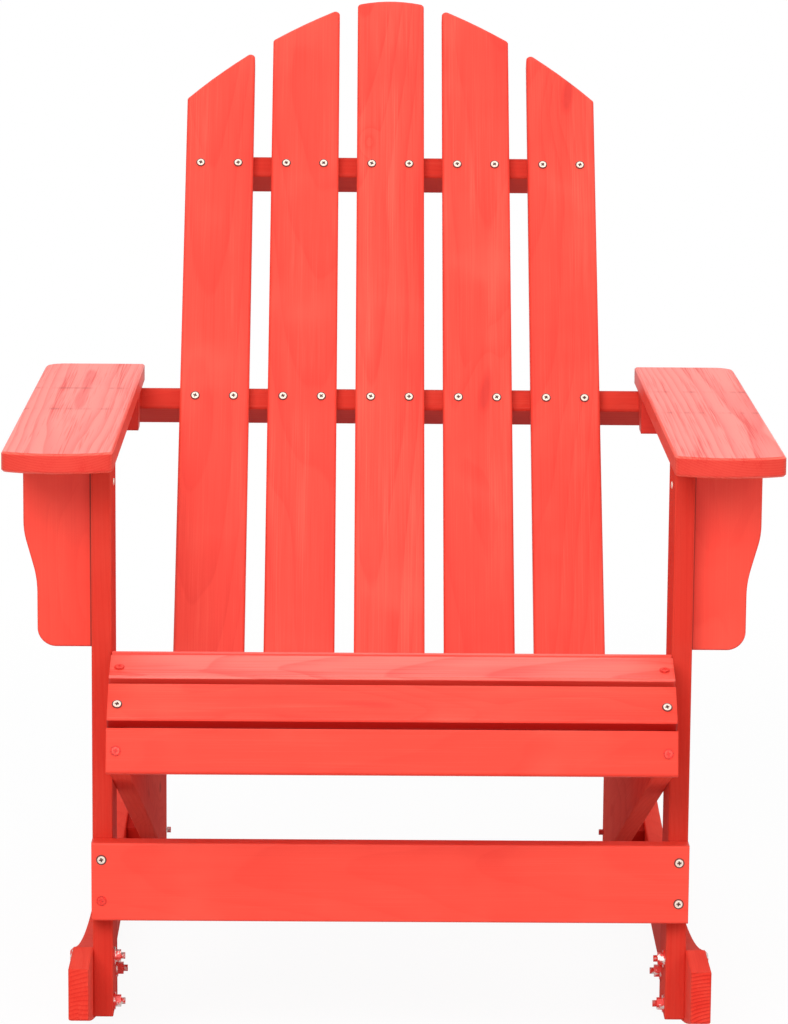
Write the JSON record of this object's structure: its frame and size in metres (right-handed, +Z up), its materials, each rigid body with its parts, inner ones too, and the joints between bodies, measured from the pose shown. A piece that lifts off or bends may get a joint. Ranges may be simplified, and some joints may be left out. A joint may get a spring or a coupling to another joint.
{
  "type": "rocking garden chair",
  "caption": "Rocking garden chair of painted wood boards with an arched slat back, curved slat seat, wide flat arms and two curved rockers.",
  "frame": {"origin": "middle of the bounding box in X and Y, on the floor the rockers stand on", "axes": "+Z up, +Y to the rear, +X to the right of the picture (front view)"},
  "size_m": [0.685, 0.9364, 0.9112],
  "materials": {
    "red_painted_fir": "red semi-gloss paint over planed fir, grain faintly visible",
    "zinc_steel": "bright zinc plated"
  },
  "bodies": {
    "root": {"arm_height_bar": "red_painted_fir", "back_slat_1": "red_painted_fir", "back_slat_2": "red_painted_fir", "back_slat_3": "red_painted_fir", "back_slat_4": "red_painted_fir", "back_slat_5": "red_painted_fir", "foot_back_bar": "red_painted_fir", "front_apron_slat": "red_painted_fir", "left_arm": "red_painted_fir", "left_arm_block": "red_painted_fir", "left_arm_bracket": "red_painted_fir", "left_front_leg": "red_painted_fir", "left_rocker": "red_painted_fir", "left_seat_stringer": "red_painted_fir", "left_tail_spacer": "red_painted_fir", "leg_bolts": "zinc_steel", "lower_front_board": "red_painted_fir", "right_arm": "red_painted_fir", "right_arm_block": "red_painted_fir", "right_arm_bracket": "red_painted_fir", "right_front_leg": "red_painted_fir", "right_rocker": "red_painted_fir", "right_seat_stringer": "red_painted_fir", "right_tail_spacer": "red_painted_fir", "seat_nose_slat": "red_painted_fir", "seat_nose_top_slat": "red_painted_fir", "seat_slat_1": "red_painted_fir", "seat_slat_2": "red_painted_fir", "seat_slat_3": "red_painted_fir", "seat_slat_4": "red_painted_fir", "seat_slat_5": "red_painted_fir", "tail_bolts": "zinc_steel", "top_back_bar": "red_painted_fir"}
  },
  "joints": []
}
